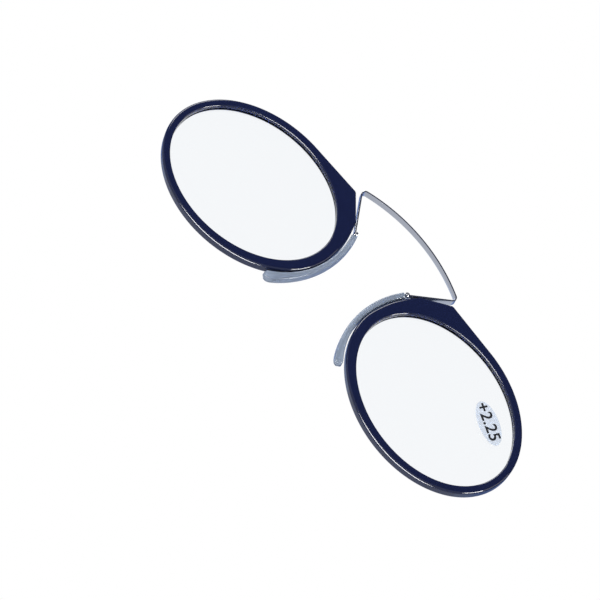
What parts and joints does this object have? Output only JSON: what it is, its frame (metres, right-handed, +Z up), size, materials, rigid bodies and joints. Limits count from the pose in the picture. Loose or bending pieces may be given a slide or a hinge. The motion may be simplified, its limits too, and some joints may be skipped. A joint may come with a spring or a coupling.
{
  "type": "pince-nez reading glasses",
  "caption": "Reading glasses without temples: oval lenses in dark rims on a spring band, which clip on the nose with hinged soft pads.",
  "frame": {"origin": "on the midline between the two lens centres, halfway through the depth of the rims", "axes": "+X towards the wearer's left lens as seen from the front, +Y from the front to the wearer's face, +Z up"},
  "size_m": [0.1076, 0.0028, 0.04],
  "materials": {
    "rim": "deep navy moulded plastic, polished",
    "lens": "clear optical plastic, polished",
    "spring_steel": "bright rolled spring steel",
    "hardware": "bright turned steel",
    "pad_silicone": "translucent bluish silicone, satin",
    "label_film": "thin translucent film with a printed number"
  },
  "bodies": {
    "bridge": {"bridge_arch": "spring_steel"},
    "right_side": {"rim_right": "rim", "lens_right": "lens", "power_label": "label_film", "spring_leg_right": "spring_steel", "rim_rivet_right": "hardware", "hinge_pin_right": "hardware"},
    "left_side": {"rim_left": "rim", "lens_left": "lens", "spring_leg_left": "spring_steel", "rim_rivet_left": "hardware", "hinge_pin_left": "hardware"},
    "right_pad": {"pad_arm_right": "spring_steel", "nose_pad_right": "pad_silicone"},
    "left_pad": {"pad_arm_left": "spring_steel", "nose_pad_left": "pad_silicone"}
  },
  "joints": [
    {"name": "right_opening", "type": "hinge", "parent": "bridge", "child": "right_side", "pos_m": [0.01487, 0, 0.01907], "axis": [0, -1, 0], "range_deg": [0, 10], "stiffness_Nm_per_rad": 0.05},
    {"name": "right_pad_swing", "type": "hinge", "parent": "right_side", "child": "right_pad", "pos_m": [0.00881, 0, 0.01115], "axis": [0, 1, 0], "range_deg": [0, 20]},
    {"name": "left_opening", "type": "hinge", "parent": "bridge", "child": "left_side", "pos_m": [-0.01487, 0, 0.01907], "axis": [0, 1, 0], "range_deg": [0, 10], "stiffness_Nm_per_rad": 0.05},
    {"name": "left_pad_swing", "type": "hinge", "parent": "left_side", "child": "left_pad", "pos_m": [-0.00881, 0, 0.01115], "axis": [0, -1, 0], "range_deg": [0, 20]}
  ],
  "couplings": [
    {"joint": "left_opening", "follows": "right_opening", "ratio": 1}
  ]
}
